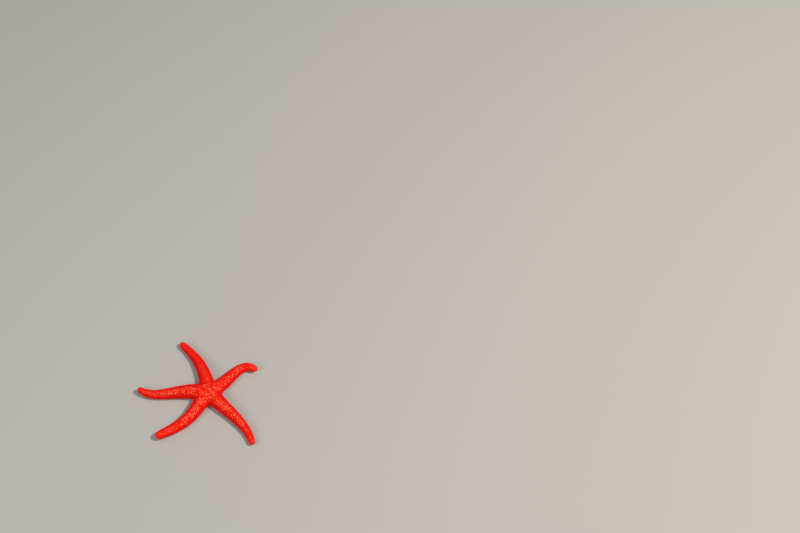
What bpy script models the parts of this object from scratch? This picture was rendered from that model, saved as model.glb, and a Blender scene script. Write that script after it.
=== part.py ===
"""A Mediterranean red sea star, life size, lying on the floor with its arms spread.

The body is one smooth cage: a disc with its mouth below, and five arms that each follow a bent centreline.
It is subdivided once, parted into the disc and three lengths of each arm, and cut level where it lies on the
floor. Metres, +Z up. The origin is on the floor under the middle of the body's plan box.
"""

from math import cos, radians, sin, sqrt

import bmesh
import bpy
from mathutils import Matrix, Vector

# Each arm, anticlockwise from above: the heading in which it leaves the mouth, its length from the mouth to
# the tip, how far it turns left over its base, middle and outer third, its half-width at the mouth (where the
# five flow together) and at the tip, and how high the tip is held.
ARMS = {
    "right": dict(heading=22.2, length=0.0730, turns=(30, -4, -116.4), root=0.0108, tip=0.0050, lift=0.0025),
    "back": dict(heading=103.5, length=0.0840, turns=(8.5, 19, 9.5), root=0.0104, tip=0.0045, lift=0.0020),
    "left": dict(heading=179.5, length=0.0895, turns=(3, 8.8, -49), root=0.0118, tip=0.0044, lift=0.0045),
    "front_left": dict(heading=-117.2, length=0.0877, turns=(0, -31, -1.4), root=0.0108, tip=0.0059, lift=0.0035),
    "front_right": dict(heading=-51.3, length=0.0947, turns=(12, -8, -26), root=0.0114, tip=0.0042, lift=0.0015),
}
HEIGHT_SHARE = 0.76  # an arm's height over its width
LIFT_FROM = 0.62  # the share of an arm's length past which it rises towards the tip
RINGS = 13  # cage rings along the free part of an arm
TIP_RINGS = (1.10, 0.45, 0.12)  # the last cage rings, as shares of the tip's radius short of the end
SECTION_MIDDLE = 0.45  # the height that the tip rounds off towards, as a share of the arm's own
FREE_PAST_CROTCH = 0.0030  # the first whole ring lies this far past the arm's outer crotch
CENTRELINE_STEPS = 240

# Half of an arm's cage section, from the ridge down the flank to the roof of the furrow in its underside: how
# far across, as a share of the half-width, and how high, as a share of the height. The cage stands a little
# outside the section that it makes, and reaches below the floor, where the level cut leaves two flats.
SECTION = (
    (0.00, 1.03),  # ridge
    (0.66, 0.90),  # shoulder
    (1.08, 0.44),  # flank
    (0.80, -0.085),  # heel
    (0.27, -0.085),  # lip of the furrow
    (0.00, 0.22),  # roof of the furrow
)
RIDGE, SHOULDER, FLANK, HEEL, LIP, ROOF = range(len(SECTION))

DISC_SWELL = 1.04  # the middle of the disc's top, as a share of the ridges' height round it
CROTCH_SHARE = 0.2  # the share of the arms' length whose widths and flank lines place the crotch between them
HEEL_SET_IN = 0.24  # how far the crotch's heel lies inside its flank, as a share of the arms' width
SHOULDER_SET_IN = 0.09  # how far its shoulder lies nearer still, as a share of the way to the mouth
VALLEY = 0.74  # the height between two arms' shoulders on the disc, as a share of the shoulders' own
MOUTH_RADIUS = 0.0032
THROAT_HEIGHT = 0.0063  # the roof of the mouth over the floor
MOUTH_RIM_HEIGHT = 0.0029
JAW_REACH = 0.0042  # from the middle of the mouth to the point of each of the five jaws

PARTING = 0.0003  # the gap that parts two lengths
ARM_CUTS = (0.245, 0.50, 0.75)  # where the arms are parted, as shares of their length
LENGTH_NAMES = ("base", "middle", "end")

SIEVE_BEARING = 141  # the madreporite lies between the back and left arms
SIEVE_OUT = 0.0058  # from the middle of the disc
SIEVE_RADIUS = 0.0018
SIEVE_PROUD = 0.0005
SIEVE_DEPTH = 0.0011

EYE_RADIUS = 0.0006
EYE_HEIGHT_SHARE = 0.46  # the eyespot's height over the tip's underside, as a share of the tip's own height
EYE_SUNK = 0.0002  # how far its middle lies inside the skin

SKIN_RED = (0.78, 0.030, 0.008)
SIEVE_ORANGE = (0.85, 0.17, 0.06)
EYE_RED = (0.30, 0.004, 0.003)


def clear_scene():
    for obj in list(bpy.data.objects):
        bpy.data.objects.remove(obj)


def principled(name, colour, roughness):
    material = bpy.data.materials.new(name)
    material.use_nodes = True
    shader = material.node_tree.nodes["Principled BSDF"]
    shader.inputs["Base Color"].default_value = (*colour, 1)
    shader.inputs["Roughness"].default_value = roughness
    shader.inputs["Metallic"].default_value = 0
    return material


def turn_rate(arm, share):
    """Degrees of turn per whole length, running smoothly between the middles of the three thirds."""
    base, middle, outer = (3 * turn for turn in arm["turns"])
    if share < 0.5:
        blend = min(max((share - 1 / 6) * 3, 0), 1)
        return base + (middle - base) * blend
    blend = min(max((share - 0.5) * 3, 0), 1)
    return middle + (outer - middle) * blend


def centreline(arm):
    """The arm's middle in plan, as (point, heading in radians) at even steps from the mouth to the tip."""
    step = 1 / CENTRELINE_STEPS
    point = Vector((0, 0))
    heading = radians(arm["heading"])
    line = [(point.copy(), heading)]
    for i in range(CENTRELINE_STEPS):
        turn = radians(turn_rate(arm, (i + 0.5) * step)) * step
        halfway = heading + turn / 2
        point += Vector((cos(halfway), sin(halfway))) * arm["length"] * step
        heading += turn
        line.append((point.copy(), heading))
    return line


def place_along(arm, share):
    """The centreline's point and heading at a share of the arm's length."""
    at = share * CENTRELINE_STEPS
    before = min(int(at), CENTRELINE_STEPS - 1)
    (a, heading_a), (b, heading_b) = arm["line"][before : before + 2]
    part = at - before
    return a.lerp(b, part), heading_a + (heading_b - heading_a) * part


def half_width(arm, share):
    return arm["root"] + (arm["tip"] - arm["root"]) * share


def rounding(arm, share):
    """The share of its full section that the arm has as its tip rounds off, from 1 down to 0 at the end."""
    left = (1 - share) * arm["length"] / arm["tip"]
    return 1 if left >= 1 else sqrt(max(1 - (1 - left) ** 2, 0))


def underside(arm, share):
    """The height of the arm's underside over the floor: level, then rising to the tip."""
    rise = max(share - LIFT_FROM, 0) / (1 - LIFT_FROM)
    return arm["lift"] * rise**2


def section_point(arm, share, across, up):
    """A point of the arm's section at a share of its length, with across positive to its left."""
    point, heading = place_along(arm, share)
    width = half_width(arm, share)
    height = 2 * width * HEIGHT_SHARE
    size = rounding(arm, share)
    middle = SECTION_MIDDLE * height
    left = Vector((-sin(heading), cos(heading)))
    plan = point + left * across * width * size
    return Vector((*plan, underside(arm, share) + middle + (up * height - middle) * size))


def side_line(arm, share, side):
    """The arm's flank in plan, as a point and a direction. side is 1 on the left, -1 on the right."""
    point, heading = place_along(arm, share)
    left = Vector((-sin(heading), cos(heading)))
    out = side * half_width(arm, share) * SECTION[FLANK][0]
    return point + left * out, Vector((cos(heading), sin(heading)))


def crotch(arm, following):
    """Where the left flank of an arm meets the right flank of the arm that follows it, in plan."""
    a, along_a = side_line(arm, CROTCH_SHARE, 1)
    b, along_b = side_line(following, CROTCH_SHARE, -1)
    return a + along_a * ((b - a).cross(along_b) / along_a.cross(along_b))


def share_beside(arm, plan):
    """The share of the arm's length that lies beside a point in plan."""
    distances = [(point - plan).length for point, _ in arm["line"]]
    return distances.index(min(distances)) / CENTRELINE_STEPS


def cage_ring(cage, arm, share):
    """A whole ring of cage vertices, from the ridge down the left side and up the right."""
    right = [(-across, up) for across, up in SECTION[ROOF - 1 : RIDGE : -1]]
    return [cage.verts.new(section_point(arm, share, *place)) for place in (*SECTION, *right)]


def bridge(cage, ring, following, material):
    """Quads between two rings of an arm, facing outwards."""
    for i in range(len(ring)):
        j = (i + 1) % len(ring)
        face = cage.faces.new((ring[i], ring[j], following[j], following[i]))
        face.material_index = material


def disc_cage(cage, arms):
    """The disc's faces. Returns the ring of vertices that each arm grows from."""
    count = len(arms)
    shares = []
    columns = []  # the three vertices of each crotch: shoulder, flank and heel
    for i, arm in enumerate(arms):
        following = arms[(i + 1) % count]
        plan = crotch(arm, following)
        width = (half_width(arm, CROTCH_SHARE) + half_width(following, CROTCH_SHARE)) / 2
        height = 2 * width * HEIGHT_SHARE
        inward = 1 - HEEL_SET_IN * width / plan.length
        columns.append(
            (
                cage.verts.new((*(plan * (inward - SHOULDER_SET_IN)), SECTION[SHOULDER][1] * height * VALLEY)),
                cage.verts.new((*plan, SECTION[FLANK][1] * height)),
                cage.verts.new((*(plan * inward), SECTION[HEEL][1] * height)),
            )
        )
    for i, arm in enumerate(arms):
        beside = [share_beside(arm, columns[k][1].co.xy) for k in (i, i - 1)]
        shares.append(sum(beside) / 2)
        arm["free_from"] = max(beside) + FREE_PAST_CROTCH / arm["length"]

    ridges, roofs, left_lips, right_lips, mouth_rims, jaws = [], [], [], [], [], []
    for i, arm in enumerate(arms):
        ridges.append(cage.verts.new(section_point(arm, shares[i], *SECTION[RIDGE])))
        roofs.append(cage.verts.new(section_point(arm, shares[i], *SECTION[ROOF])))
        across, up = SECTION[LIP]
        left_lips.append(cage.verts.new(section_point(arm, shares[i], across, up)))
        right_lips.append(cage.verts.new(section_point(arm, shares[i], -across, up)))
        heading = arm["line"][0][1]
        rim = Vector((cos(heading), sin(heading))) * MOUTH_RADIUS
        mouth_rims.append(cage.verts.new((*rim, MOUTH_RIM_HEIGHT)))
        between = columns[i][1].co.xy.normalized() * JAW_REACH
        jaws.append(cage.verts.new((*between, left_lips[0].co.z)))
    top = cage.verts.new((0, 0, DISC_SWELL * sum(v.co.z for v in ridges) / count))
    throat = cage.verts.new((0, 0, THROAT_HEIGHT))

    for i in range(count):
        j = (i + 1) % count
        shoulder, flank, heel = columns[i]
        cage.faces.new((top, ridges[i], shoulder, ridges[j]))
        cage.faces.new((jaws[i], right_lips[j], heel, left_lips[i]))
        cage.faces.new((throat, mouth_rims[j], jaws[i], mouth_rims[i]))
        cage.faces.new((mouth_rims[i], jaws[i], left_lips[i], roofs[i]))
        cage.faces.new((mouth_rims[j], roofs[j], right_lips[j], jaws[i]))
    return [
        [ridges[i], *columns[i], left_lips[i], roofs[i], right_lips[i], *reversed(columns[i - 1])]
        for i in range(count)
    ]


def arm_shares(arm):
    """The shares of its length at which the arm has cage rings."""
    last = [1 - back * arm["tip"] / arm["length"] for back in TIP_RINGS]
    step = (last[0] - arm["free_from"]) / (RINGS - 1)
    return [arm["free_from"] + step * i for i in range(RINGS - 1)] + last


def body_mesh(arms):
    """The whole body, subdivided once. Faces of the arm numbered n, from 1, have the material index n."""
    cage = bmesh.new()
    for number, (arm, ring) in enumerate(zip(arms, disc_cage(cage, arms)), start=1):
        for share in arm_shares(arm):
            following = cage_ring(cage, arm, share)
            bridge(cage, ring, following, number)
            ring = following
        cap = cage.faces.new(ring)
        cap.material_index = number
    bmesh.ops.recalc_face_normals(cage, faces=cage.faces)
    mesh = bpy.data.meshes.new("body")
    cage.to_mesh(mesh)
    cage.free()
    for _ in range(len(arms) + 1):
        mesh.materials.append(None)
    guide = bpy.data.objects.new("body", mesh)
    bpy.context.scene.collection.objects.link(guide)
    smooth = guide.modifiers.new("Smooth", "SUBSURF")
    smooth.levels = smooth.render_levels = 1
    bpy.context.view_layer.update()
    evaluated = guide.evaluated_get(bpy.context.evaluated_depsgraph_get())
    whole = bpy.data.meshes.new_from_object(evaluated)
    bpy.data.objects.remove(guide)
    return whole


def plan_middle(mesh):
    xs = [v.co.x for v in mesh.vertices]
    ys = [v.co.y for v in mesh.vertices]
    return Vector(((min(xs) + max(xs)) / 2, (min(ys) + max(ys)) / 2, 0))


def keep_side(shape, faces, point, outward):
    """Cuts these faces by a plane, removes what lies beyond it, and closes the hole."""
    edges = {edge for face in faces for edge in face.edges}
    verts = {vert for face in faces for vert in face.verts}
    cut = bmesh.ops.bisect_plane(
        shape,
        geom=[*faces, *edges, *verts],
        dist=1e-6,
        plane_co=point,
        plane_no=outward,
        clear_outer=True,
    )
    rim = [g for g in cut["geom_cut"] if isinstance(g, bmesh.types.BMEdge) and g.is_boundary]
    bmesh.ops.holes_fill(shape, edges=rim)


def faces_of(shape, number):
    return [face for face in shape.faces if face.material_index == number]


def parting_plane(arm, share):
    point, heading = place_along(arm, share)
    return Vector((*point, 0)), Vector((cos(heading), sin(heading), 0))


def level_off(shape):
    """Cuts the underside level with the floor."""
    keep_side(shape, shape.faces[:], Vector((0, 0, 0)), Vector((0, 0, -1)))


def finish_node(name, shape, shift, material):
    """Turns a finished bmesh into an object, moved so that the origin is under the whole body's middle."""
    bmesh.ops.translate(shape, verts=shape.verts, vec=-shift)
    bmesh.ops.recalc_face_normals(shape, faces=shape.faces)
    mesh = bpy.data.meshes.new(name)
    shape.to_mesh(mesh)
    shape.free()
    mesh.materials.clear()
    mesh.materials.append(material)
    for face in mesh.polygons:
        face.material_index = 0
    mesh.shade_smooth()
    mesh.set_sharp_from_angle(angle=radians(40))
    obj = bpy.data.objects.new(name, mesh)
    bpy.context.scene.collection.objects.link(obj)
    return obj


def arm_length(whole, arm, number, place):
    """One length of an arm: everything but the arm is removed, then its ends are cut."""
    shape = bmesh.new()
    shape.from_mesh(whole)
    others = [face for face in shape.faces if face.material_index != number]
    bmesh.ops.delete(shape, geom=others, context="FACES")
    point, along = parting_plane(arm, ARM_CUTS[place])
    keep_side(shape, shape.faces[:], point + along * PARTING / 2, -along)
    if place + 1 < len(ARM_CUTS):
        point, along = parting_plane(arm, ARM_CUTS[place + 1])
        keep_side(shape, shape.faces[:], point - along * PARTING / 2, along)
    level_off(shape)
    return shape


def disc(whole, arms):
    """The disc, with the stub of each arm out to its first cut."""
    shape = bmesh.new()
    shape.from_mesh(whole)
    for number, arm in enumerate(arms, start=1):
        point, along = parting_plane(arm, ARM_CUTS[0])
        keep_side(shape, faces_of(shape, number), point - along * PARTING / 2, along)
    level_off(shape)
    return shape


def button(radius, height, crown):
    """A short cylinder standing on z = 0, with its upper edge rounded over by the crown."""
    shape = bmesh.new()
    bmesh.ops.create_cone(
        shape,
        cap_ends=True,
        segments=20,
        radius1=radius,
        radius2=radius,
        depth=height,
        matrix=Matrix.Translation((0, 0, height / 2)),
    )
    if crown:
        rim = [e for e in shape.edges if all(v.co.z > height * 0.9 for v in e.verts)]
        bmesh.ops.bevel(
            shape,
            geom=rim,
            offset=crown,
            offset_type="OFFSET",
            segments=3,
            profile=0.5,
            affect="EDGES",
            material=-1,
        )
    return shape


def sieve_place(disc_object):
    """The madreporite's seat on the disc's top, as a matrix with +Z out of the skin."""
    bearing = radians(SIEVE_BEARING)
    middle = disc_object["middle"]
    above = Vector((cos(bearing) * SIEVE_OUT + middle[0], sin(bearing) * SIEVE_OUT + middle[1], 1))
    _, point, normal, _ = disc_object.ray_cast(above, Vector((0, 0, -1)))
    return Matrix.Translation(point) @ normal.to_track_quat("Z", "Y").to_matrix().to_4x4()


def madreporite(disc_object, material):
    """A round sieve plate let into the top of the disc."""
    seat = sieve_place(disc_object)
    pocket = bpy.data.meshes.new("sieve_pocket")
    shape = button(SIEVE_RADIUS + PARTING, SIEVE_DEPTH + PARTING + 0.002, 0)
    bmesh.ops.translate(shape, verts=shape.verts, vec=(0, 0, -SIEVE_DEPTH - PARTING))
    shape.to_mesh(pocket)
    shape.free()
    cutter = bpy.data.objects.new("sieve_pocket", pocket)
    cutter.matrix_world = seat
    cutter.hide_render = True
    cutter.display_type = "WIRE"
    bpy.context.scene.collection.objects.link(cutter)
    cut = disc_object.modifiers.new("Pocket", "BOOLEAN")
    cut.operation = "DIFFERENCE"
    cut.solver = "EXACT"
    cut.object = cutter

    shape = button(SIEVE_RADIUS, SIEVE_DEPTH + SIEVE_PROUD, SIEVE_PROUD)
    bmesh.ops.translate(shape, verts=shape.verts, vec=(0, 0, -SIEVE_DEPTH))
    plate = finish_node("madreporite", shape, Vector((0, 0, 0)), material)
    plate.matrix_world = seat


def eyespot(arm, tip_object, middle, material):
    """The eye at the end of an arm, a bead let into the tip just over the furrow."""
    point, heading = place_along(arm, 1)
    outward = Vector((cos(heading), sin(heading), 0))
    eye_height = underside(arm, 1) + EYE_HEIGHT_SHARE * 2 * arm["tip"] * HEIGHT_SHARE
    beyond = Vector((*point, eye_height)) + outward * arm["tip"] - middle
    _, surface, _, _ = tip_object.ray_cast(beyond, -outward)
    place = surface - outward * EYE_SUNK
    for name, radius in (("eye_pocket_", EYE_RADIUS + PARTING), ("eyespot_", EYE_RADIUS)):
        shape = bmesh.new()
        bmesh.ops.create_icosphere(shape, subdivisions=2, radius=radius)
        obj = finish_node(name + arm["name"], shape, Vector((0, 0, 0)), material)
        obj.location = place
        if name == "eye_pocket_":
            obj.hide_render = True
            obj.display_type = "WIRE"
            cut = tip_object.modifiers.new("Pocket", "BOOLEAN")
            cut.operation = "DIFFERENCE"
            cut.solver = "EXACT"
            cut.object = obj


def main():
    clear_scene()
    arms = [dict(arm, name=name, line=centreline(arm)) for name, arm in ARMS.items()]
    skin = principled("wet red skin", SKIN_RED, 0.35)
    whole = body_mesh(arms)
    middle = plan_middle(whole)
    body = finish_node("disc", disc(whole, arms), middle, skin)
    body["middle"] = tuple(-middle)
    for number, arm in enumerate(arms, start=1):
        for place, length_name in enumerate(LENGTH_NAMES):
            name = f"arm_{arm['name']}_{length_name}"
            length = finish_node(name, arm_length(whole, arm, number, place), middle, skin)
        eyespot(arm, length, middle, principled("dark red eye", EYE_RED, 0.2))
    bpy.context.view_layer.update()
    madreporite(body, principled("pale sieve plate", SIEVE_ORANGE, 0.5))


main()
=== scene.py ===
# The looks of a life-size Mediterranean red sea star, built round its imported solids.
# One wet skin lies over the disc and the arms, with spines on its ridges and gills in its pits. Tube feet,
# spines and the mouth's soft lip fill the furrows below, and the sieve plate and the eyespots are pieces of
# their own. Sizes are in millimetres and turned to metres where they are used.

import math

import bmesh
import bpy
import numpy as np
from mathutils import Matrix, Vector, kdtree, noise


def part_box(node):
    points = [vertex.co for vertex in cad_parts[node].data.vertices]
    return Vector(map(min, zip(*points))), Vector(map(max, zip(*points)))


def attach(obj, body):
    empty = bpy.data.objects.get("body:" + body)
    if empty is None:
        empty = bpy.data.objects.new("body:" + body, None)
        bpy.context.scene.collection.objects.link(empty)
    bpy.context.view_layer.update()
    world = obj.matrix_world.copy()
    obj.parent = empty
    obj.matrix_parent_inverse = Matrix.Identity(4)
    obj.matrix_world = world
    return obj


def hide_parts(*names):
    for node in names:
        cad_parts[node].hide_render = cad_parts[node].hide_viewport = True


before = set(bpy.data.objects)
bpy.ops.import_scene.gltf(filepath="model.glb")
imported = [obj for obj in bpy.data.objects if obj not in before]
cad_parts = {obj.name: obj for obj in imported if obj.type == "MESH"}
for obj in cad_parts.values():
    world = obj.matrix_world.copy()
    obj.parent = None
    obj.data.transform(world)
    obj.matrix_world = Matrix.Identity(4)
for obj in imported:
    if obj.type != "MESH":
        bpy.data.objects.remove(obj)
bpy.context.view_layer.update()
mm = 0.001
dice = np.random.default_rng(7)
print("frame loaded:", len(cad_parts), "nodes")


# rises smoothly from 0 at low to 1 at high. scale turns both from millimetres, or from shares of a width.
def smoothStep(value, low, high, scale=1):
    low, high = low * scale, high * scale
    t = np.clip((value - low) / (high - low), 0, 1)
    return t * t * (3 - 2 * t)


def unit(vectors):
    return vectors / np.linalg.norm(vectors, axis=1, keepdims=True)


def places(mesh):
    co = np.empty(len(mesh.vertices) * 3)
    mesh.vertices.foreach_get("co", co)
    return co.reshape(-1, 3)


def normals(mesh):
    no = np.empty(len(mesh.vertices) * 3)
    mesh.vertex_normals.foreach_get("vector", no)
    return no.reshape(-1, 3)


def storeFloats(mesh, name, values):
    mesh.attributes.new(name, "FLOAT", "POINT").data.foreach_set("value", np.asarray(values, np.float32))


# turns a finished bmesh into a mesh, and frees it
def meshOf(name, shape):
    mesh = bpy.data.meshes.new(name)
    shape.to_mesh(mesh)
    shape.free()
    return mesh


def newObject(name, mesh, material=None):
    obj = bpy.data.objects.new(name, mesh)
    bpy.context.scene.collection.objects.link(obj)
    if material:
        mesh.materials.append(material)
    mesh.shade_smooth()
    return obj


# the object's mesh with its modifiers applied; the object itself is removed
def evaluated(obj):
    bpy.context.view_layer.update()
    mesh = bpy.data.meshes.new_from_object(obj.evaluated_get(bpy.context.evaluated_depsgraph_get()))
    bpy.data.objects.remove(obj)
    return mesh


def treeOf(points):
    tree = kdtree.KDTree(len(points))
    for number, point in enumerate(points):
        tree.insert(point, number)
    tree.balance()
    return tree


# picks points one by one in the given order, and leaves out any that lies too near one already picked
def thinned(points, order, spacing):
    taken = {}
    picked = []
    cells = np.floor(points / spacing).astype(int)
    around = [(x, y, z) for x in (-1, 0, 1) for y in (-1, 0, 1) for z in (-1, 0, 1)]
    for index in order:
        x, y, z = cells[index]
        near = [other for dx, dy, dz in around for other in taken.get((x + dx, y + dy, z + dz), ())]
        if near and ((points[near] - points[index]) ** 2).sum(1).min() < spacing**2:
            continue
        taken.setdefault((x, y, z), []).append(index)
        picked.append(index)
    return np.array(picked)


# How the arms lie, as the solids have them. Anticlockwise from above: where each arm heads from the mouth,
# how long it is, how far it turns left over each third, its half-width at the mouth and at the tip, and how
# high its tip is held.
arms = [
    dict(name="right", heading=22.2, length=73.0, turns=(30, -4, -116.4), root=10.8, tip=5.0, lift=2.5),
    dict(name="back", heading=103.5, length=84.0, turns=(8.5, 19, 9.5), root=10.4, tip=4.5, lift=2.0),
    dict(name="left", heading=179.5, length=89.5, turns=(3, 8.8, -49), root=11.8, tip=4.4, lift=4.5),
    dict(name="front_left", heading=-117.2, length=87.7, turns=(0, -31, -1.4), root=10.8, tip=5.9, lift=3.5),
    dict(name="front_right", heading=-51.3, length=94.7, turns=(12, -8, -26), root=11.4, tip=4.2, lift=1.5),
]
lay = dict(
    mouth=(12.81, 0.16),  # the mouth's place, because the origin is under the middle of the whole body
    steps=240,  # steps along each centreline
    flat=0.62,  # the share of an arm that lies level, before it rises to its tip
)


# how fast an arm turns, in degrees a length: steady to the middle of its first third, then changing evenly
def turnRate(arm, share):
    base, middle, outer = (3 * turn for turn in arm["turns"])
    if share < 0.5:
        return base + (middle - base) * min(max((share - 1 / 6) * 3, 0), 1)
    return middle + (outer - middle) * min(max((share - 0.5) * 3, 0), 1)


# the arm's middle in plan, as (place, heading in radians) from the mouth to the tip
def centreline(arm):
    step = 1 / lay["steps"]
    point = Vector((*lay["mouth"], 0)) * mm
    heading = math.radians(arm["heading"])
    line = [(point.copy(), heading)]
    for i in range(lay["steps"]):
        turn = math.radians(turnRate(arm, (i + 0.5) * step)) * step
        halfway = heading + turn / 2
        point += Vector((math.cos(halfway), math.sin(halfway), 0)) * arm["length"] * mm * step
        heading += turn
        line.append((point.copy(), heading))
    return line


def halfWidth(arm, share):
    return (arm["root"] + (arm["tip"] - arm["root"]) * share) * mm


def underside(arm, share):
    rise = max(share - lay["flat"], 0) / (1 - lay["flat"])
    return arm["lift"] * mm * rise**2


for arm in arms:
    arm["line"] = centreline(arm)
    arm["tree"] = treeOf([point for point, _ in arm["line"]])
stations = np.array([point for arm in arms for point, _ in arm["line"]])
stationHeadings = np.array([heading for arm in arms for _, heading in arm["line"]])
stationTree = treeOf(stations)


# which arm each point belongs to, how far along it lies, and how far across, positive to the arm's left
def alongArms(points):
    near = np.array([stationTree.find((x, y, 0))[1] for x, y, _ in points])
    offset = points - stations[near]
    heading = stationHeadings[near]
    across = np.cos(heading) * offset[:, 1] - np.sin(heading) * offset[:, 0]
    return near // (lay["steps"] + 1), (near % (lay["steps"] + 1)) / lay["steps"], across


# how far each point is in plan from the arm nearest to it, and from the next one
def nearestTwoArms(points):
    gaps = np.array([sorted(arm["tree"].find((x, y, 0))[2] for arm in arms)[:2] for x, y, _ in points])
    return gaps[:, 0], gaps[:, 1]


print("arms laid out")


def linear(colour):
    parts = [int(colour[i : i + 2], 16) / 255 for i in (1, 3, 5)]
    return (*(c / 12.92 if c <= 0.04045 else ((c + 0.055) / 1.055) ** 2.4 for c in parts), 1)


# adds a node with its settings and inputs; an input is a value, a hex colour, or another node's output
def addNode(tree, kind, inputs=(), **settings):
    node = tree.nodes.new(kind)
    for name, value in settings.items():
        setattr(node, name, value)
    for name, value in dict(inputs).items():
        if isinstance(value, bpy.types.NodeSocket):
            tree.links.new(value, node.inputs[name])
        else:
            node.inputs[name].default_value = linear(value) if isinstance(value, str) else value
    return node


def newMaterial(name, inputs):
    material = bpy.data.materials.new(name)
    material.use_nodes = True
    shader = material.node_tree.nodes["Principled BSDF"]
    for key, value in inputs.items():
        shader.inputs[key].default_value = linear(value) if isinstance(value, str) else value
    return material, material.node_tree, shader


# lays colours over a first one and gives the last to the shader. Each layer is the attribute or the node's
# output that says how much of it shows, and its colour. A Mix node takes its share at input 0 and its colours
# at 6 and 7.
def layered(tree, shader, first, layers):
    colour = first
    for share, over in layers:
        if isinstance(share, str):
            share = addNode(tree, "ShaderNodeAttribute", attribute_name=share).outputs["Fac"]
        colour = addNode(tree, "ShaderNodeMix", {0: share, 6: colour, 7: over}, data_type="RGBA").outputs[2]
    tree.links.new(colour, shader.inputs["Base Color"])


skinLook = dict(
    patch=8,  # width of the slow changes in colour
    pore=0.5,  # width of the skin's own pebbles, between the pits
    poreDepth=0.07,
    grain=0.25,  # width of the fine wrinkles, coarser than in life so that they show
    grainDepth=0.04,
)


def wetSkin():
    # living skin, soft and wet over small limy plates: scarlet in its pits and down the flanks, more orange
    # on the ridges along the crests and paler round the spines' roots, with the broken gloss of a wet pebbled
    # surface. The orange band and the pale specks lie a little to the side of the crests that faces the key
    # light, so they are partly painted highlight, the glints of wet skin laid into its colour
    material, tree, shader = newMaterial(
        "wet leathery skin",
        {
            "Roughness": 0.42,
            "IOR": 1.4,
            "Specular IOR Level": 0.08,
            "Specular Tint": "#ff5a3c",
            "Subsurface Weight": 0.05,
            "Subsurface Radius": (1.0, 0.12, 0.05),
            "Subsurface Scale": 0.5 * mm,
            "Coat Weight": 0.12,
            "Coat Roughness": 0.07,
            "Coat IOR": 1.34,
        },
    )
    coords = addNode(tree, "ShaderNodeTexCoord").outputs["Object"]
    broad = {"Vector": coords, "Scale": 1 / (skinLook["patch"] * mm), "Detail": 3}
    patch = addNode(tree, "ShaderNodeTexNoise", broad)
    share = {"Value": patch.outputs["Fac"], "From Min": 0.45, "From Max": 0.75, "To Max": 0.5}
    deeper = addNode(tree, "ShaderNodeMapRange", share).outputs["Result"]
    layers = (
        ("ridge", "#ee0200"),
        # partly painted highlight: the crests' orange band, turned towards the key light
        ("crestAndGlint", "#f91c00"),
        (deeper, "#e60600"),
        ("end", "#ff300c"),
        # partly painted glint: the pale skin round the spines on the side facing the key light
        ("speckAndGlint", "#ffd8a4"),
        ("below", "#e0531f"),
        ("furrow", "#e58a50"),
    )
    layered(tree, shader, "#c00000", layers)
    wrinkles = {"Vector": coords, "Scale": 1 / (skinLook["grain"] * mm), "Detail": 2}
    grain = addNode(tree, "ShaderNodeTexNoise", wrinkles)
    pores = addNode(tree, "ShaderNodeTexVoronoi", {"Vector": coords, "Scale": 1 / (skinLook["pore"] * mm)})
    fine = {"Height": grain.outputs["Fac"], "Strength": 0.25, "Distance": skinLook["grainDepth"] * mm}
    normal = addNode(tree, "ShaderNodeBump", fine).outputs["Normal"]
    coarse = {
        "Height": pores.outputs["Distance"],
        "Strength": 0.5,
        "Distance": skinLook["poreDepth"] * mm,
        "Normal": normal,
    }
    normal = addNode(tree, "ShaderNodeBump", coarse).outputs["Normal"]
    tree.links.new(normal, shader.inputs["Normal"])
    tree.links.new(normal, shader.inputs["Coat Normal"])
    return material


def calciteSpine():
    # short blunt spines of calcite sheathed in the skin: scarlet at the root, and paler and more orange at
    # the tip, where the calcite shines through. The skin's spines are palest on the side of the crests that
    # faces the key light, and there that paleness is partly painted glint
    material, tree, shader = newMaterial(
        "skin-sheathed calcite spine",
        {
            "Roughness": 0.35,
            "Specular IOR Level": 0.15,
            "Specular Tint": "#ff7a58",
            "Subsurface Weight": 0.1,
            "Subsurface Radius": (1.0, 0.2, 0.1),
            "Subsurface Scale": 0.4 * mm,
            "Coat Weight": 0.28,
            "Coat Roughness": 0.08,
        },
    )
    # pale: the calcite tips, and on the skin's spines also painted glint
    layered(tree, shader, "#ec0600", [("below", "#e05a24"), ("pale", "#ffc490")])
    return material


def gillSkin():
    # thin wet skin over clear fluid: a darker red than the ridges round it
    inputs = {"Roughness": 0.3, "Specular IOR Level": 0.15, "Coat Weight": 0.3, "Coat Roughness": 0.1}
    material, tree, shader = newMaterial("thin gill skin", inputs)
    layered(tree, shader, "#9c0400", [("pale", "#c41004")])
    return material


def tubeFootSkin():
    # water-filled muscle under clear skin: a soft orange, paler at the sucker
    material, tree, shader = newMaterial(
        "soft tube foot",
        {
            "Roughness": 0.35,
            "Subsurface Weight": 0.25,
            "Subsurface Radius": (1.0, 0.4, 0.2),
            "Subsurface Scale": 0.6 * mm,
            "Coat Weight": 0.3,
        },
    )
    layered(tree, shader, "#de6a34", [("pale", "#f2b482")])
    return material


def softLip():
    # thin muscle round the mouth: a paler, fleshy orange, mottled
    inputs = {"Roughness": 0.4, "Subsurface Weight": 0.2, "Subsurface Scale": 0.5 * mm, "Coat Weight": 0.3}
    material, tree, shader = newMaterial("soft mouth lip", inputs)
    coords = addNode(tree, "ShaderNodeTexCoord").outputs["Object"]
    patch = addNode(tree, "ShaderNodeTexNoise", {"Vector": coords, "Scale": 1 / (0.8 * mm), "Detail": 2})
    layered(tree, shader, "#cc5424", [(patch.outputs["Fac"], "#f2a06a")])
    return material


def sieveCalcite():
    # porous calcite under thin skin: orange on its ridges, darker red in the grooves that let water in
    material, tree, shader = newMaterial("porous calcite plate", {"Roughness": 0.5, "Coat Weight": 0.3})
    layered(tree, shader, "#cc2008", [("ridge", "#ff6a38")])
    return material


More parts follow.
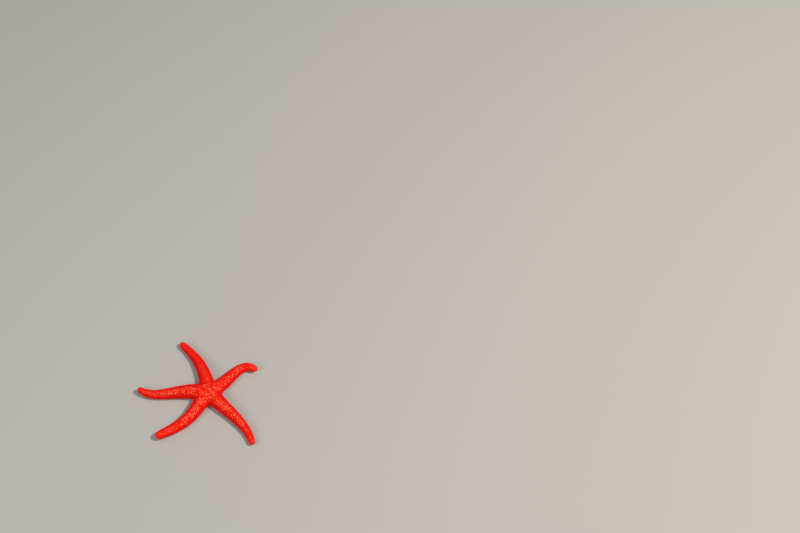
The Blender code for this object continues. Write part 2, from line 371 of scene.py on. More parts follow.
def eyePigment():
    # cups of dark red pigment under clear skin: a darker red than the skin round it, with a small glint
    inputs = {"Roughness": 0.35, "Specular IOR Level": 0.15, "Coat Weight": 0.25, "Coat Roughness": 0.08}
    material, tree, shader = newMaterial("dark red eye pigment", inputs)
    layered(tree, shader, "#a00a04", [("cup", "#540202")])
    return material


skinSize = dict(
    grow=0.3,  # how far each solid is grown first, so that the thin cuts between them close
    fill=0.4,  # the same for the pieces let into the skin, whose pockets close too
    voxel=0.45,
    triangles=195000,  # what is kept of the skin's faces; its flattest places lose the rest
    smoothing=18,
    coat=0.555,  # the coat's depth, by which the skin lies inside the solids
    clear=0.05,  # the least height over the floor
    pitSpacing=1.9,  # a little coarser than in life, so that the pits show
    pitDepth=0.28,
    ridgeHeight=0.14,
    sheath=0.15,  # how far the skin rises round a spine
    sheathReach=(0.05, 0.75),  # where that rise begins and ends, from the spine's middle
    swell=0.14,  # height of the slow unevenness
    swellSize=7,
    crease=1.3,  # depth of the creases that run in from the crotches between the arms
    creaseWidth=2.2,
    seatRadius=1.95,  # the hollow that the sieve plate sits in
    seatDepth=0.45,
    heel=0.1,  # how far an arm's lower edges are rounded up off the floor, as a share of its half-width
)
# where each part of the skin begins and ends, as the two values between which it fades
skinZones = dict(
    low=(0.35, 0.75),  # height over an arm's underside, in half-widths, at which its lower part ends
    furrow=(0.24, 0.36),  # how far from an arm's middle its furrow ends, in half-widths
    furrowTurn=(-0.35, 0.1),  # how far the skin is turned down: 0 where it is upright, 1 where it lies level
    furrowEnd=(0.96, 0.995),  # along the arm, as a share of its length
    below=(0.15, 0.75),  # turned down, as for the furrow
    creaseStart=(2.5, 7.5),  # from the middle of the nearest arm, in millimetres
    creaseEnd=(9, 16),
    creaseTurn=(-0.2, 0.3),  # turned up
    heelSide=(0.45, 0.95),  # from the arm's middle, in half-widths
    heelTop=(0.05, 0.42),  # over its underside, in half-widths
    seat=(0.86, 1.15),  # from the sieve plate's middle, in radii of its seat
    seatCrease=(1, 2.2),  # the same; no crease comes nearer
    crestAndGlint=(0.65, 0.98),  # turned towards the side of the painted glints, as pale is below
    pale=(0.75, 0.97),
    ridge=(0, 0.55),  # how much further off the second pit is than the nearest, in spacings of the pits
    pit=(0.1, 0.42),  # from the middle of the nearest pit, the same
    end=(0.8, 1),  # along the arm
)
skinTone = dict(even=0.5, ridge=0.4, sheath=0.25, pit=0.7, end=0.4)  # how orange the relief and the tips are
# the pale spines along the crests, and the pale skin round their roots: partly paler spine tips, and partly
# painted glints, strongest on the side that faces the key light and weaker on the back arm
paleSpinesAndGlints = dict(
    side=(0.18, -0.3, 0.94),  # where the painted glints face: tilted towards the key light and the camera
    spread=(-0.5, 1.4),  # a spine's paleness is drawn from this range and cut off at 0 and 1
    least=0.03,
    small=0.4,  # how pale the small ones are beside the large ones
    # painted glints: fewer on the back arm, where less of the key light's glint falls
    arms=dict(right=0.9, back=0.5, left=0.9, front_left=1, front_right=1),
    outer=0.5,  # how much paleness is lost towards the tips
    fade=(0.5, 0.85),  # where it is lost, as shares of the arm's length
    speckAndGlint=(0.35, 0.85),  # where the pale skin round a spine begins to fade and where it ends, from its middle
    speckShare=0.95,
)
spineSize = dict(
    largeSpacing=2.9,  # the least distance between two large spines
    smallSpacing=1.35,
    largeHeight=0.45,  # from the skin to the tip
    smallHeight=0.27,
    spread=(0.78, 1.15),  # the least and the most of that height
    slimmest=0.6,  # the least width of a short one beside a full one
    sunk=0.14,
    lean=0.10,
    clearOfEye=1.3,
    offMiddle=0.35,  # the most that a spine's distances to the two nearest pits may differ
)
fleshNodes = ["disc"]
fleshNodes += [f"arm_{arm['name']}_{length}" for arm in arms for length in ("base", "middle", "end")]
filledNodes = ["madreporite"] + [f"eyespot_{arm['name']}" for arm in arms]


# a round plate's middle, and the direction that its upper face looks in
def seatOf(node):
    shape = bmesh.new()
    shape.from_mesh(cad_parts[node].data)
    axis = sum((face.normal * face.calc_area() for face in shape.faces if face.normal.z > 0.7), Vector())
    shape.free()
    low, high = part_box(node)
    return (low + high) / 2, axis.normalized()


def smoothBody():
    shape = bmesh.new()
    for node in fleshNodes + filledNodes:
        part = bmesh.new()
        part.from_mesh(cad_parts[node].data)
        bmesh.ops.remove_doubles(part, verts=part.verts, dist=1e-6)
        part.normal_update()
        grow = skinSize["fill" if node in filledNodes else "grow"] * mm
        for vert, normal in [(v, v.normal.copy()) for v in part.verts]:
            vert.co += normal * grow
        mesh = meshOf("part", part)
        shape.from_mesh(mesh)
        bpy.data.meshes.remove(mesh)
    body = newObject("body", meshOf("body", shape))
    remesh = body.modifiers.new("Close the cuts", "REMESH")
    remesh.mode = "VOXEL"
    remesh.voxel_size = skinSize["voxel"] * mm
    mesh = evaluated(body)
    shape = bmesh.new()
    shape.from_mesh(mesh)
    bpy.data.meshes.remove(mesh)
    axes = dict(use_axis_x=True, use_axis_y=True, use_axis_z=True)
    for _ in range(skinSize["smoothing"]):
        bmesh.ops.smooth_vert(shape, verts=shape.verts, factor=0.5, **axes)
    shape.normal_update()
    inward = (skinSize["grow"] + skinSize["coat"]) * mm
    for vert, normal in [(v, v.normal.copy()) for v in shape.verts]:
        vert.co -= normal * inward
    return meshOf("skin", shape)


# what every point of the skin is: its arm, how far along and across, the arm's half-width there, and how much
# it is underside, furrow, crest of an arm turned towards the key light (where the painted glints go), pale
# side of that crest, crease between two arms, lower edge, and seat of the sieve plate
def skinFields(points, outward):
    zones = skinZones
    arm, share, across = alongArms(points)
    width = np.array([halfWidth(arms[a], s) for a, s in zip(arm, share)])
    level = np.array([underside(arms[a], s) for a, s in zip(arm, share)])
    low = 1 - smoothStep(points[:, 2] - level, *zones["low"], width)
    furrow = (1 - smoothStep(np.abs(across), *zones["furrow"], width)) * low
    furrow *= smoothStep(-outward[:, 2], *zones["furrowTurn"])
    furrow *= 1 - smoothStep(share, *zones["furrowEnd"])
    first, second = nearestTwoArms(points)
    crease = np.exp(-(((second - first) / (skinSize["creaseWidth"] * mm)) ** 2))
    crease *= smoothStep(first, *zones["creaseStart"], mm) * (1 - smoothStep(first, *zones["creaseEnd"], mm))
    crease *= smoothStep(outward[:, 2], *zones["creaseTurn"])
    heel = smoothStep(np.abs(across), *zones["heelSide"], width)
    heel *= 1 - smoothStep(points[:, 2] - level, *zones["heelTop"], width)
    middle, axis = seatOf("madreporite")
    offset = points - np.array(middle)
    rise = offset @ np.array(axis)
    aside = np.linalg.norm(offset - rise[:, None] * np.array(axis), axis=1)
    radius = skinSize["seatRadius"] * mm
    seat = (1 - smoothStep(aside, *zones["seat"], radius)) * (np.abs(rise) < 2 * radius)
    crease *= smoothStep(aside, *zones["seatCrease"], radius)
    # how far the skin faces the side of the painted glints: tilted from straight up towards the key light and
    # the camera
    glintFacing = outward @ np.array(Vector(paleSpinesAndGlints["side"]).normalized())
    return dict(
        arm=arm,
        share=share,
        across=across,
        width=width,
        below=smoothStep(-outward[:, 2], *zones["below"]) * low,
        furrow=furrow,
        crestAndGlint=smoothStep(glintFacing, *zones["crestAndGlint"]),
        pale=smoothStep(glintFacing, *zones["pale"]),
        crease=crease,
        heel=heel,
        seat=seat,
    )


# where the skin has neither a furrow nor the sieve plate's seat
def isOpenSkin(fields):
    return (fields["furrow"] < 0.1) & (fields["seat"] < 0.05)


# spines stand where three ridges meet: first the large ones, well apart, then small ones between them
def spineRoots(points, fields, first, second, third):
    eyes = treeOf([sum(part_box(f"eyespot_{arm['name']}"), Vector()) / 2 for arm in arms])
    bare = np.array([eyes.find(point)[2] for point in points]) < spineSize["clearOfEye"] * mm
    able = np.flatnonzero((second - first < spineSize["offMiddle"] * mm) & isOpenSkin(fields) & ~bare)
    order = able[np.argsort((third - first)[able])]
    large = thinned(points, order, spineSize["largeSpacing"] * mm)
    both = thinned(points, np.concatenate([large, order]), spineSize["smallSpacing"] * mm)
    return large, np.setdiff1d(both, large)


# how pale each spine is: some of those along the crests much more than the rest. Beyond the paler tips that
# spines have, this is painted glint: most on the side facing the key light, least on the back arm
def spineGlintAndPaleness(fields, roots, largeCount):
    pale = paleSpinesAndGlints
    most = fields["pale"][roots] * (1 - pale["outer"] * smoothStep(fields["share"][roots], *pale["fade"]))
    most *= np.array([pale["arms"][arms[number]["name"]] for number in fields["arm"][roots]])
    paleness = np.clip(dice.uniform(*pale["spread"], len(roots)), 0, 1) * most
    paleness[largeCount:] *= pale["small"]
    return pale["least"] + (1 - pale["least"]) * paleness


# the skin's network of ridges round its pits, raised round each spine. Returns what the coat needs to know.
def raiseRelief(mesh):
    size, zones, tones = skinSize, skinZones, skinTone
    points, outward = places(mesh), normals(mesh)
    fields = skinFields(points, outward)
    pits = thinned(points, dice.permutation(len(points)), size["pitSpacing"] * mm)
    pitTree = treeOf(points[pits])
    first, second, third = np.array([[hit[2] for hit in pitTree.find_n(point, 3)] for point in points]).T
    large, small = spineRoots(points, fields, first, second, third)
    spacing = size["pitSpacing"] * 1.2 * mm  # thinned pits lie this much further apart than they must
    ridge = 1 - smoothStep((second - first) / spacing, *zones["ridge"])
    pit = 1 - smoothStep(first / spacing, *zones["pit"])
    roots = np.concatenate([large, small])
    rootTree = treeOf(points[roots])
    nearest = [rootTree.find(point)[1:] for point in points]
    toRoot = np.array([distance for _, distance in nearest])
    sheath = 1 - smoothStep(toRoot, *size["sheathReach"], mm)
    swell = np.array([noise.noise(Vector(point) / (size["swellSize"] * mm)) for point in points])
    height = size["ridgeHeight"] * ridge - size["pitDepth"] * pit + size["sheath"] * sheath
    height += size["swell"] * swell
    height *= (1 - fields["furrow"]) * (1 - 0.4 * fields["below"])
    height -= size["crease"] * fields["crease"] + size["seatDepth"] * fields["seat"]
    moved = points + outward * height[:, None] * mm
    moved[:, 2] += size["heel"] * fields["heel"] * fields["width"]
    moved[:, 2] = np.maximum(moved[:, 2], size["clear"] * mm)
    mesh.vertices.foreach_set("co", moved.ravel())
    mesh.update()
    paleness = spineGlintAndPaleness(fields, roots, len(large))
    # the pale skin round each spine takes the spine's paleness, and so is partly painted glint
    speckAndGlint = 1 - smoothStep(toRoot, *paleSpinesAndGlints["speckAndGlint"], mm)
    speckAndGlint *= paleness[[number for number, _ in nearest]]
    tone = tones["even"] + tones["ridge"] * ridge + tones["sheath"] * sheath - tones["pit"] * pit
    tone = np.clip(tone, 0, 1)
    storeFloats(mesh, "ridge", tone)
    # the crests' orange band, turned towards the key light, is partly painted highlight
    storeFloats(mesh, "crestAndGlint", fields["crestAndGlint"] * tone)
    storeFloats(mesh, "end", tones["end"] * smoothStep(fields["share"], *zones["end"]))
    storeFloats(mesh, "speckAndGlint", paleSpinesAndGlints["speckShare"] * speckAndGlint)
    storeFloats(mesh, "below", fields["below"])
    storeFloats(mesh, "furrow", fields["furrow"])
    rootPaleness = dict(zip(roots, paleness))
    coat = dict(pits=pits, large=large, small=small, paleness=rootPaleness)
    return dict(fields, points=moved, outward=normals(mesh), **coat)


# thins out the faces where the skin is flattest, so that its mesh stays light
def fewerFaces(mesh):
    body = newObject("body", mesh)
    thin = body.modifiers.new("Fewer flat faces", "DECIMATE")
    thin.ratio = skinSize["triangles"] / (2 * len(mesh.polygons))  # its faces are squares, two triangles each
    return evaluated(body)


skinMesh = smoothBody()
print("skin closed:", len(skinMesh.polygons), "faces")
relief = raiseRelief(skinMesh)
skin = newObject("skin", fewerFaces(skinMesh), wetSkin())
print("skin made:", len(skin.data.polygons), "faces")
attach(skin, "root")
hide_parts(*fleshNodes)
print("relief raised:", len(relief["pits"]), "pits")


# extrudes an open ring of edges, and scales the new ring about the upright axis; returns its points and edges
def nextRing(shape, edges, scale):
    new = bmesh.ops.extrude_edge_only(shape, edges=edges)["geom"]
    verts = [g for g in new if isinstance(g, bmesh.types.BMVert)]
    edges = [g for g in new if isinstance(g, bmesh.types.BMEdge) and set(g.verts) <= set(verts)]
    bmesh.ops.scale(shape, verts=verts, vec=(scale, scale, 1))
    return verts, edges


# a small closed body of revolution from a few rings, each a height and a radius
def turnedShape(name, rings, sides):
    shape = bmesh.new()
    verts = bmesh.ops.create_circle(shape, segments=sides, radius=rings[0][1] * mm)["verts"]
    bmesh.ops.translate(shape, verts=verts, vec=(0, 0, rings[0][0] * mm))
    edges = shape.edges[:]
    for (height, radius), (_, before) in zip(rings[1:], rings):
        verts, edges = nextRing(shape, edges, radius / before)
        for vert in verts:
            vert.co.z = height * mm
    bmesh.ops.holes_fill(shape, edges=shape.edges)
    bmesh.ops.recalc_face_normals(shape, faces=shape.faces)
    return meshOf(name, shape)


# the place of a root on an unwrap of the skin: a strip for each arm, as long as the arm and as wide as its
# girth, with a narrow gap beside it and at its ends
def unwrapped(arm, share, across, width, below):
    upright = np.sqrt(np.maximum(width**2 - across**2, (0.1 * width) ** 2))
    turn = np.arctan2(across, np.where(below, -upright, upright))
    return np.stack([(arm + 0.5 + 0.46 * turn / math.pi) / len(arms), 0.02 + 0.96 * share], -1)


def unwrappedSkin(index):
    keys = ("arm", "share", "across", "width")
    return unwrapped(*(relief[key][index] for key in keys), relief["below"][index] > 0.5)


patchWidth = 0.003  # of each copy's patch on the bake's map, where the whole skin is 1 wide


# one mesh of many copies of a small shape, each turned along its direction and scaled, with its own patch of
# the bake's map. The attribute pale runs from 0 at a copy's root to the copy's own paleness at its tip, and
# below is 1 for those of the underside.
def joinedCopies(name, template, roots, directions, scales, patches, material, paleness=1.0, below=1.0):
    base = places(template)
    loops = np.array([loop.vertex_index for loop in template.loops])
    starts = np.array([face.loop_start for face in template.polygons])
    count = len(roots)
    number = np.arange(count)[:, None]
    upright = np.where(np.abs(directions[:, 2:]) < 0.9, (0, 0, 1), (1, 0, 0))
    side = unit(np.cross(directions, upright))
    spin = dice.uniform(0, math.tau, count)[:, None]
    x = side * np.cos(spin) + np.cross(directions, side) * np.sin(spin)
    axes = np.stack([x, np.cross(directions, x), directions], 1)
    points = roots[:, None] + (base[None] * scales[:, None]) @ axes
    mesh = bpy.data.meshes.new(name)
    mesh.vertices.add(count * len(base))
    mesh.vertices.foreach_set("co", points.ravel())
    mesh.loops.add(count * len(loops))
    mesh.loops.foreach_set("vertex_index", (loops[None] + number * len(base)).ravel())
    mesh.polygons.add(count * len(starts))
    mesh.polygons.foreach_set("loop_start", (starts[None] + number * len(loops)).ravel())
    mesh.update(calc_edges=True)
    patch = base[loops][:, :2] / np.abs(base[:, :2]).max() * (patchWidth / 2)
    mesh.uv_layers.new(name="OFBake").uv.foreach_set("vector", (patches[:, None] + patch[None]).ravel())
    low, high = base[:, 2].min(), base[:, 2].max()
    tip = smoothStep((base[:, 2] - low) / (high - low), 0.35, 0.85)
    storeFloats(mesh, "pale", (np.broadcast_to(paleness, count)[:, None] * tip[None]).ravel())
    storeFloats(mesh, "below", np.repeat(np.broadcast_to(below, count), len(base)))
    obj = newObject(name, mesh, material)
    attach(obj, "root")
    print(name + ":", count)
    return obj


# shortens what points down, so that its end, of the given radius, stays clear of the floor
def clearOfFloor(roots, directions, lengths, radius):
    drop = np.maximum(-directions[:, 2], 1e-6)
    gap = (0.02 + radius * np.sqrt(np.maximum(1 - drop**2, 0))) * mm
    return np.minimum(lengths, np.maximum(roots[:, 2] - gap, 0.1 * mm) / drop)


def spinesOf(name, index, height, rings, sides, material):
    points, outward = relief["points"][index], relief["outward"][index]
    directions = unit(outward + dice.normal(0, spineSize["lean"], points.shape))
    lengths = height * mm * dice.uniform(*spineSize["spread"], len(index))
    lengths = clearOfFloor(points, directions, lengths, rings[-2][1]) / (height * mm)
    thick = np.clip(lengths, spineSize["slimmest"], 1)
    scales = np.stack([thick, thick, lengths], -1)
    paleness = np.array([relief["paleness"][i] for i in index])
    shape = turnedShape(name, rings, sides)
    patches, below = unwrappedSkin(index), relief["below"][index]
    obj = joinedCopies(name, shape, points, directions, scales, patches, material, paleness, below)


spineFinish = calciteSpine()
tall, low, sunk = spineSize["largeHeight"], spineSize["smallHeight"], spineSize["sunk"]
largeRings = [
    (-sunk, 0.62),
    (0.16 * tall, 0.47),
    (0.5 * tall, 0.39),
    (0.8 * tall, 0.32),
    (0.95 * tall, 0.21),
    (tall, 0.07),
]
smallRings = [(-sunk, 0.42), (0.3 * low, 0.31), (0.7 * low, 0.25), (0.93 * low, 0.16), (low, 0.05)]
spinesOf("large_spines", relief["large"], tall, largeRings, 8, spineFinish)
spinesOf("small_spines", relief["small"], low, smallRings, 6, spineFinish)


gillSize = dict(
    each=2,  # gills in each pit
    radius=0.17,
    tall=1.3,  # height beside the width
    spread=(0.75, 1.15),  # the least and the most of that size
    reach=(0.12, 0.3),  # how near and how far from the pit's middle
)


# soft hollow fingers of thin skin that stand in the pits
def gills():
    size = gillSize
    outward, pits = relief["outward"], relief["pits"]
    able = pits[(relief["below"][pits] < 0.4) & isOpenSkin(relief)[pits]]
    index = np.repeat(able, size["each"])
    away = dice.normal(0, 1, (len(index), 3))
    away = unit(away - (away * outward[index]).sum(1, keepdims=True) * outward[index])
    reach = dice.uniform(*size["reach"], len(index))[:, None] * mm
    bead = bmesh.new()
    bmesh.ops.create_icosphere(bead, subdivisions=1, radius=size["radius"] * mm)
    thick = dice.uniform(*size["spread"], len(index))
    scales = np.stack([thick, thick, thick * size["tall"]], -1)
    roots = relief["points"][index] + away * reach
    patches = unwrappedSkin(index)
    obj = joinedCopies("gills", meshOf("gill", bead), roots, outward[index], scales, patches, gillSkin())


gills()
print("coat made")


footSize = dict(
    spacing=1.55,
    across=0.125,  # each row's distance from the arm's middle, as a share of the half-width
    radius=0.42,
    length=3.2,
    start=6.5,  # from the mouth's middle
    end=0.975,  # as a share of the arm's length
    splay=0.16,
    wobble=0.1,  # how unevenly they point
    spread=(0.85, 1.1),  # the least and the most of that length
    raised=0.5,  # how much shorter they are where the arm's tip is raised
    # from the root to the sucker: each ring's height as a share of the length, and its share of the radius
    rings=((-0.25, 1.05), (0.15, 1.0), (0.5, 0.8), (0.8, 0.72), (0.92, 1.05), (0.97, 1.0), (1.0, 0.6)),
)
furrowSpineSize = dict(
    spacing=1.1,
    length=1.25,
    start=6.0,
    # how far across each row stands, how far it leans out, and how pale it is
    rows=((0.225, -0.7, 0.85), (0.285, -0.15, 0.6), (0.36, 0.3, 0.3)),
    end=0.985,
    wobble=0.12,
    spread=(0.8, 1.1),
    tip=0.5,  # how much shorter and less pale they are at the arm's tip
)


# where a line straight up from the floor first meets the skin
def overhead(x, y):
    hit, point, _, _ = skin.ray_cast(Vector((x, y, -10 * mm)), Vector((0, 0, 1)))
    return point if hit else None


# a row of roots along each side of every furrow. across is a share of the arm's half-width.
def furrowRows(size, across):
    roots, aside, shares, strips = [], [], [], []
    for number, arm in enumerate(arms):
        for i in range(int((arm["length"] * size["end"] - size["start"]) / size["spacing"])):
            for side in (-1, 1):
                share = (size["start"] + size["spacing"] * (i + 0.5 * (side > 0))) / arm["length"]
                point, heading = arm["line"][min(round(share * lay["steps"]), lay["steps"])]
                left = Vector((-math.sin(heading), math.cos(heading), 0))
                offset = side * across * halfWidth(arm, share)
                root = overhead(*(point + left * offset).xy)
                if root:
                    roots.append(root)
                    aside.append(left * side)
                    shares.append(share)
                    strips.append((number, share, offset, halfWidth(arm, share)))
    patches = unwrapped(*np.array(strips).T, np.ones(len(strips), bool))
    return np.array(roots), np.array(aside), np.array(shares), patches


# two rows in every furrow, reaching for the floor, and shorter where the arm is raised
def tubeFeet():
    size = footSize
    roots, aside, shares, patches = furrowRows(size, size["across"])
    directions = np.array((0, 0, -1)) + aside * size["splay"]
    directions = unit(directions + dice.normal(0, size["wobble"], roots.shape))
    full = size["length"] * mm
    lengths = full * dice.uniform(*size["spread"], len(roots))
    lengths *= 1 - size["raised"] * smoothStep(shares, lay["flat"], 1)
    lengths = clearOfFloor(roots, directions, lengths, size["radius"]) / full
    rings = [(height * size["length"], radius * size["radius"]) for height, radius in size["rings"]]
    scales = np.stack([np.ones(len(roots)), np.ones(len(roots)), lengths], -1)
    shape = turnedShape("tube_foot", rings, 9)
    obj = joinedCopies("tube_feet", shape, roots, directions, scales, patches, tubeFootSkin())


# rows of short spines along both lips of every furrow, the innermost leaning over it
def furrowSpines():
    size = furrowSpineSize
    parts = []
    for across, lean, pale in size["rows"]:
        roots, aside, shares, patches = furrowRows(size, across)
        directions = np.array((0, 0, -1)) + aside * lean
        directions = unit(directions + dice.normal(0, size["wobble"], roots.shape))
        lesser = 1 - size["tip"] * smoothStep(shares, 0.8, 1)
        parts.append((roots, directions, patches, lesser, pale * lesser))
    roots, directions, patches, lesser, paleness = (np.concatenate(group) for group in zip(*parts))
    full = size["length"]
    rings = [(-0.2, 0.26), (0.3 * full, 0.23), (0.85 * full, 0.19), (full, 0.08)]
    lengths = full * mm * dice.uniform(*size["spread"], len(roots)) * lesser
    lengths = clearOfFloor(roots, directions, lengths, rings[-2][1]) / (full * mm)
    scales = np.stack([np.ones(len(roots)), np.ones(len(roots)), lengths], -1)
    shape = turnedShape("furrow_spine", rings, 6)
    obj = joinedCopies("furrow_spines", shape, roots, directions, scales, patches, spineFinish, paleness)


mouthSize = dict(
    tiers=((0.9, 5, 2.0), (1.7, 4, 1.5)),  # each tier of jaw spines: its height, how many, and their length
    fan=0.17,  # the angle between two spines of a tier, seen from the mouth's middle, in radians
    reach=8,  # how far from the mouth's middle a jaw may be
    dip=-0.12,  # how far the spines point down
    pale=0.9,
    lipRadius=4.3,
    lipHeight=3.3,
    lipThickness=0.25,
    # from the lip's outer edge to its opening: how far in each ring lies, and how far over the lip's height
    lipRings=((0.0, 0.7), (0.3, 0.3), (0.55, 0.0), (0.75, -0.2), (0.88, -0.25), (0.96, 0.0), (1.0, 0.6)),
    opening=0.5,
    pleats=20,
    pleatHeight=0.15,
)


# fans of spines on the five jaws, which point over the mouth
def mouthSpines():
    size = mouthSize
    roots, directions, patches, lengths = [], [], [], []
    for number, (arm, following) in enumerate(zip(arms, arms[1:] + arms[:1])):
        turn = math.radians(following["heading"] - arm["heading"]) % math.tau
        for height, count, length in size["tiers"]:
            middle = Vector((*lay["mouth"], height)) * mm
            for j in range(count):
                bearing = math.radians(arm["heading"]) + turn / 2 + (j - (count - 1) / 2) * size["fan"]
                outward = Vector((math.cos(bearing), math.sin(bearing), 0))
                hit, root, _, _ = skin.ray_cast(middle, outward)
                if hit and (root - middle).length < size["reach"] * mm:
                    roots.append(root)
                    directions.append(Vector((0, 0, size["dip"])) - outward)
                    patches.append(((number + 0.5 + 0.04 * j) / len(arms), 0.005 + 0.004 * height))
                    lengths.append(length)
    roots, directions, patches = np.array(roots), unit(np.array(directions)), np.array(patches)
    full = max(lengths)
    rings = [(-0.5, 0.34), (0.25 * full, 0.31), (0.8 * full, 0.25), (0.96 * full, 0.15), (full, 0.05)]
    scales = np.stack([np.ones(len(roots)), np.ones(len(roots)), np.array(lengths) / full], -1)
    shape = turnedShape("mouth_spine", rings, 8)
    obj = joinedCopies("mouth_spines", shape, roots, directions, scales, patches, spineFinish, size["pale"])


# the soft lip round the mouth, puckered towards its small opening
def mouthLip():
    size = mouthSize
    shape = bmesh.new()
    inward = size["opening"] - size["lipRadius"]
    rings = [(size["lipRadius"] + inward * share, height) for share, height in size["lipRings"]]
    bmesh.ops.create_circle(shape, segments=80, radius=rings[0][0] * mm)
    edges = shape.edges[:]
    verts = shape.verts[:]
    for number, (radius, height) in enumerate(rings):
        if number:
            verts, edges = nextRing(shape, edges, radius / rings[number - 1][0])
        for vert in verts:
            turn = math.atan2(vert.co.y, vert.co.x)
            pleat = size["pleatHeight"] * (1 - radius / size["lipRadius"]) * math.cos(size["pleats"] * turn)
            vert.co.z = (size["lipHeight"] + height + pleat) * mm
    bmesh.ops.solidify(shape, geom=shape.faces[:], thickness=size["lipThickness"] * mm)
    bmesh.ops.recalc_face_normals(shape, faces=shape.faces)
    bmesh.ops.translate(shape, verts=shape.verts, vec=Vector((*lay["mouth"], 0)) * mm)
    obj = newObject("mouth_lip", meshOf("mouth_lip", shape), softLip())
    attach(obj, "root")


tubeFeet()
furrowSpines()
mouthSpines()
mouthLip()
print("underside made")


sieveSize = dict(
    radius=1.75,
    proud=0.5,  # height of its middle over the solid's middle
    dome=0.35,  # how far it falls from its middle to its edge
    rim=0.3,  # how much further it falls near its edge
    rimStart=0.75,  # as a share of the radius
    skirt=1.0,  # how far its edge goes down into the skin
    rings=14,
    sides=120,
    grooves=15,
    depth=0.17,
    wander=2.6,  # how far the grooves wander, in radians of their wave
    wanderSize=0.5,
    fork=(0.5, 0.62),  # where they fork, as shares of the radius
    start=(0.12, 0.3),  # where they begin
)


# a low dome cut by fine grooves that run out from its middle, wander, and fork halfway
def sievePlate():
    size = sieveSize
    middle, axis = seatOf("madreporite")
    shape = bmesh.new()
    verts = bmesh.ops.create_circle(shape, segments=size["sides"], radius=size["radius"] * mm)["verts"]
    bmesh.ops.translate(shape, verts=verts, vec=(0, 0, -size["skirt"] * mm))
    edges = shape.edges[:]
    shares = [1.0] + [1 - i / (size["rings"] + 1) for i in range(size["rings"] + 1)]
    for share, before in zip(shares[1:], shares):
        verts, edges = nextRing(shape, edges, share / before)
        forked = smoothStep(share, *size["fork"])
        for vert in verts:
            inPlan = Vector((vert.co.x, vert.co.y, 0))
            turn = size["grooves"] * math.atan2(inPlan.y, inPlan.x)
            turn += size["wander"] * noise.noise(inPlan / (size["wanderSize"] * mm))
            wave = math.cos(turn) * (1 - forked) + math.cos(2 * turn) * forked
            cut = size["depth"] * (0.5 - 0.5 * wave) * smoothStep(share, *size["start"])
            fall = size["rim"] * smoothStep(share, size["rimStart"], 1) + size["dome"] * share**2
            vert.co.z = (size["proud"] - fall - cut) * mm
    bmesh.ops.holes_fill(shape, edges=shape.edges)
    bmesh.ops.recalc_face_normals(shape, faces=shape.faces)
    bmesh.ops.rotate(shape, verts=shape.verts, matrix=axis.to_track_quat("Z", "Y").to_matrix())
    bmesh.ops.translate(shape, verts=shape.verts, vec=middle)
    mesh = meshOf("sieve_plate", shape)
    storeFloats(mesh, "ridge", smoothStep((places(mesh) - np.array(middle)) @ np.array(axis) / mm, 0.1, 0.5))
    obj = newObject("sieve_plate", mesh, sieveCalcite())
    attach(obj, "root")
    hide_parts("madreporite")


eyeSize = dict(
    radius=0.58,
    flat=0.62,  # depth beside the width
    cups=0.12,  # depth of the cups, as a share of the radius
    cupSize=0.24,
)


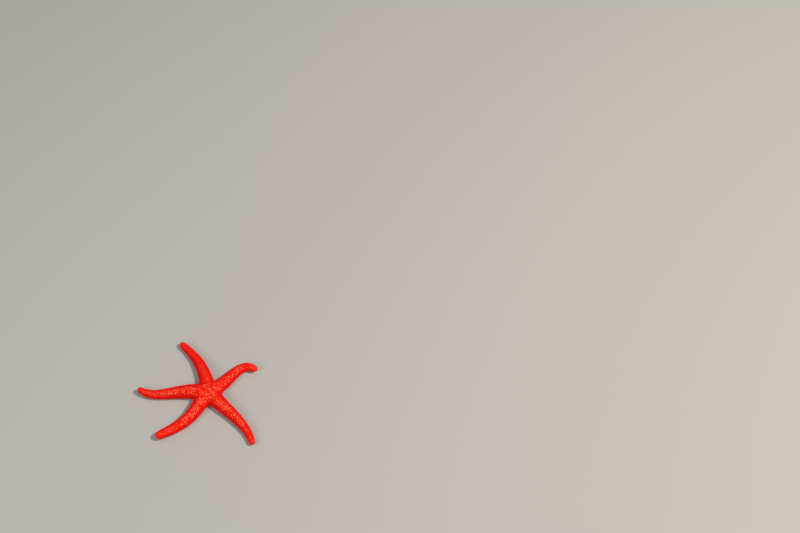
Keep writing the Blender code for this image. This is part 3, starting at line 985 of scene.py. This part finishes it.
# a flat cushion of small light-sensing cups, on the skin at the tip of an arm
def eyespot(arm, material):
    size = eyeSize
    low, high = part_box(f"eyespot_{arm['name']}")
    heading = arm["line"][-1][1]
    outward = Vector((math.cos(heading), math.sin(heading), 0))
    _, surface, _, _ = skin.ray_cast((low + high) / 2 + outward * 5 * mm, -outward)
    shape = bmesh.new()
    bmesh.ops.create_icosphere(shape, subdivisions=4, radius=size["radius"] * mm)
    near = [noise.voronoi(vert.co / (size["cupSize"] * mm))[0][0] for vert in shape.verts]
    for vert, distance in zip(shape.verts, near):
        vert.co *= 1 + size["cups"] * (distance - 0.5)
    bmesh.ops.scale(shape, verts=shape.verts, vec=(size["flat"], 1, 1))
    bmesh.ops.rotate(shape, verts=shape.verts, matrix=outward.to_track_quat("X", "Z").to_matrix())
    bmesh.ops.translate(shape, verts=shape.verts, vec=surface)
    mesh = meshOf("eye", shape)
    storeFloats(mesh, "cup", 1 - smoothStep(np.array(near), 0.2, 0.6))
    obj = newObject(f"eye_{arm['name']}", mesh, material)
    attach(obj, "root")
    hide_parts(f"eyespot_{arm['name']}")


sievePlate()
pigment = eyePigment()
for arm in arms:
    eyespot(arm, pigment)
print("sieve plate and eyespots made")


def paleFloor():
    # matt card: even and pale, with nothing to draw the eye
    shape = bmesh.new()
    bmesh.ops.create_grid(shape, x_segments=1, y_segments=1, size=3)
    material = newMaterial("pale matt card", {"Base Color": "#aeaca8", "Roughness": 0.9})[0]
    newObject("floor", meshOf("floor", shape), material)


# the lamps' places and widths in metres, and their power in watts
lamps = dict(
    key=dict(place=(1.9, -0.2, 2.3), size=0.28, power=70, colour="#fff8ee"),
    fill=dict(place=(-1.9, -1.6, 2.0), size=1.6, power=32, colour="#f1f5ff"),
)


def roundLamp(name, place, size, power, colour):
    light = bpy.data.lights.new(name, "AREA")
    light.shape = "DISK"
    light.size = size
    light.energy = power
    light.color = linear(colour)[:3]
    obj = bpy.data.objects.new(name, light)
    obj.location = place
    obj.rotation_euler = (-Vector(place)).to_track_quat("-Z", "Y").to_euler()
    bpy.context.scene.collection.objects.link(obj)


view = dict(
    lens=50,
    place=(235.4, -656.7, 1214.3),  # from the mouth's middle
    pitch=34.93,  # degrees up from straight down
)


def placeCamera():
    camera = bpy.data.cameras.new("camera")
    camera.lens = view["lens"]
    obj = bpy.data.objects.new("camera", camera)
    obj.location = (Vector((*lay["mouth"], 0)) + Vector(view["place"])) * mm
    obj.rotation_euler = (math.radians(view["pitch"]), 0, 0)
    bpy.context.scene.collection.objects.link(obj)
    bpy.context.scene.camera = obj


def evenSky(colour, strength):
    world = bpy.data.worlds.new("studio")
    world.use_nodes = True
    world.node_tree.nodes["Background"].inputs["Color"].default_value = linear(colour)
    world.node_tree.nodes["Background"].inputs["Strength"].default_value = strength
    bpy.context.scene.world = world


paleFloor()
for name, lamp in lamps.items():
    roundLamp(name, **lamp)
evenSky("#f2f2f2", 0.42)
bpy.context.scene.view_settings.view_transform = "Standard"
placeCamera()
print("stage set")
